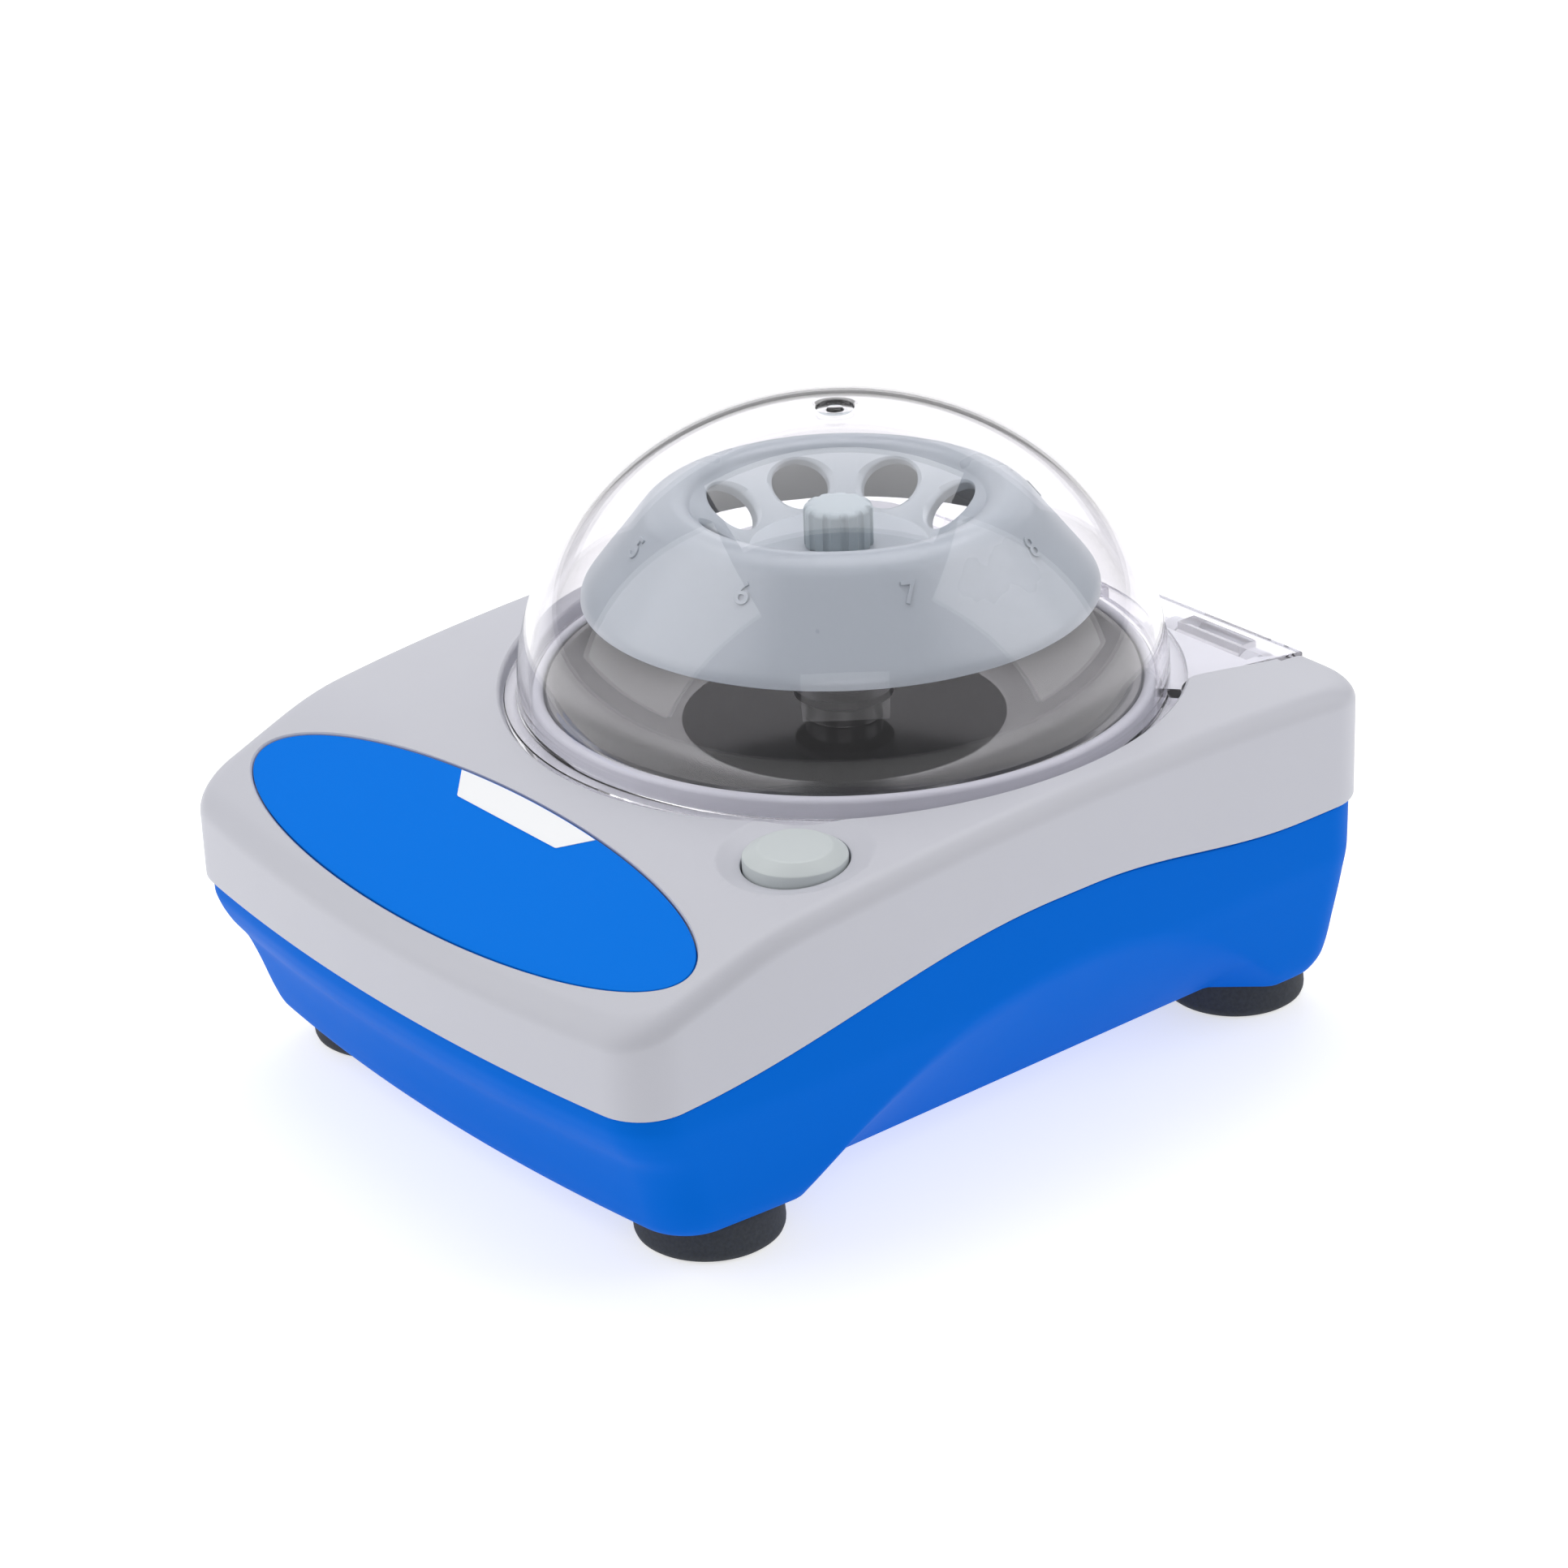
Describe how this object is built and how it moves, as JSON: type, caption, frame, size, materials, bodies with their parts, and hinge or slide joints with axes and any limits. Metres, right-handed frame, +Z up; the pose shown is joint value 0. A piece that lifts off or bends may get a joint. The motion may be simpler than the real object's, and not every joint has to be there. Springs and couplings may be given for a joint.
{
  "type": "laboratory mini centrifuge",
  "caption": "Bench-top mini centrifuge: two-part plastic housing with sloped front panel and push button, clear domed lid hinged at the back, and an angled microtube rotor on a vertical motor.",
  "frame": {"origin": "on the bench, under the middle of the body's width and depth", "axes": "+Z up, -Y towards the user (the sloped panel), +X to the user's right; the rotor turns about +Z at x = 0, y = 0.02 m"},
  "size_m": [0.145, 0.18, 0.122],
  "materials": {
    "grey_shell": "light grey, fine satin texture",
    "blue_shell": "bright blue, satin",
    "blue_panel": "bright blue printed film, satin",
    "white_tab": "white print, blank",
    "clear_shell": "clear moulded plastic, glossy",
    "steel": "bright",
    "magnet": "plated",
    "sensor": "black resin",
    "button_grey": "silver grey, fine grain",
    "plunger_white": "white",
    "switch_black": "black",
    "bowl_black": "black, glossy",
    "gasket": "soft foam",
    "rotor_grey": "cool grey, fine texture",
    "knob_grey": "cool grey, slightly darker",
    "adapter_metal": "machined",
    "armature": "varnished copper windings",
    "ferrite": "sintered",
    "motor_steel": "zinc plated",
    "end_cap": "black",
    "bronze": "sintered",
    "plate_metal": "pressed",
    "damper": "soft",
    "board_green": "solder mask",
    "cap_sleeve": "dark blue sleeve",
    "chip_black": "black resin",
    "connector": "ivory",
    "jack_black": "black",
    "pin_brass": "plated",
    "foot_rubber": "soft, matt, dark grey",
    "lead_red": "insulation",
    "lead_grey": "insulation"
  },
  "bodies": {
    "housing": {"upper_housing": "grey_shell", "lid_seat": "grey_shell", "lower_housing": "blue_shell", "front_panel": "blue_panel", "label_tab": "white_tab", "hinge_pins": "steel", "lid_sensor": "sensor", "button_spring": "steel", "power_switch": "switch_black", "chamber_bowl": "bowl_black", "bowl_gasket": "gasket", "bowl_screws": "steel", "motor_magnets": "ferrite", "motor_can": "motor_steel", "motor_end_cap": "end_cap", "motor_bearings": "bronze", "motor_plate": "plate_metal", "motor_screws": "steel", "motor_isolators": "damper", "isolator_screws": "steel", "circuit_board": "board_green", "capacitor": "cap_sleeve", "driver_chip": "chip_black", "board_connectors": "connector", "board_screws": "steel", "dc_jack": "jack_black", "jack_pin": "pin_brass", "foot_front_left": "foot_rubber", "foot_front_right": "foot_rubber", "foot_rear_left": "foot_rubber", "foot_rear_right": "foot_rubber", "foot_screws": "steel", "housing_screws": "steel", "motor_leads": "lead_red", "switch_leads": "lead_grey", "jack_leads": "lead_red"},
    "lid": {"lid": "clear_shell", "lid_magnet": "magnet"},
    "spin": {"rotor": "rotor_grey", "rotor_hub": "rotor_grey", "rotor_knob": "knob_grey", "shaft_adapter": "adapter_metal", "motor_shaft": "steel", "motor_armature": "armature"},
    "button": {"power_button": "button_grey", "switch_plunger": "plunger_white"}
  },
  "joints": [
    {"name": "lid_hinge", "type": "hinge", "parent": "housing", "child": "lid", "pos_m": [0, 0.085, 0.0618], "axis": [-1, 0, 0], "range_deg": [0, 80]},
    {"name": "rotor_spin", "type": "hinge", "parent": "housing", "child": "spin", "pos_m": [0, 0.02, 0.08], "axis": [0, 0, 1], "continuous": true},
    {"name": "power_button", "type": "slide", "parent": "housing", "child": "button", "axis": [0, 0, -1], "range_m": [0, 0.002], "stiffness_N_per_m": 300, "springref_m": -0.001, "deforming": ["button_spring"]}
  ]
}
